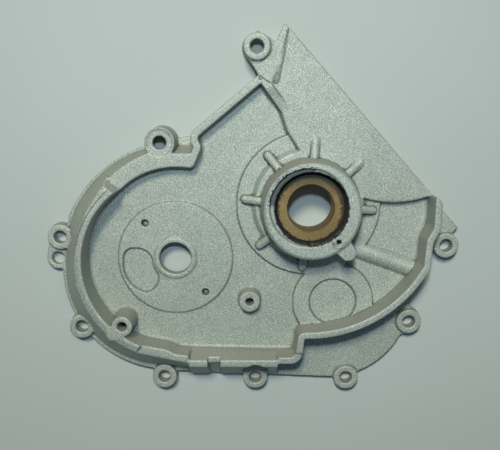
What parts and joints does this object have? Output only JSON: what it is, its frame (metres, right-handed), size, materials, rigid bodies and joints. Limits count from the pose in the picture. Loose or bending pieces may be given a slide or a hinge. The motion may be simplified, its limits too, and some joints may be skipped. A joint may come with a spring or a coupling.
{
  "type": "engine crankcase half",
  "caption": "Cast crankcase half with a ribbed main bearing boss and pressed-in bush, a stepped chamber floor, an oil pump seat, a drafted chamber wall and screw lugs round the rim.",
  "frame": {"origin": "on the main bore's axis, in the machined back face that bolts to the engine", "axes": "+Z along the main bore, out of the open chamber; +X to the right and +Y to the top of the cover as it is pictured"},
  "size_m": [0.2133, 0.1886, 0.0285],
  "materials": {
    "cast_aluminium": "die cast, shot blasted, unpainted",
    "bush_bronze": "sintered bronze, reamed"
  },
  "bodies": {
    "root": {"crankcase_casting": "cast_aluminium", "shaft_bush": "bush_bronze"}
  },
  "joints": []
}
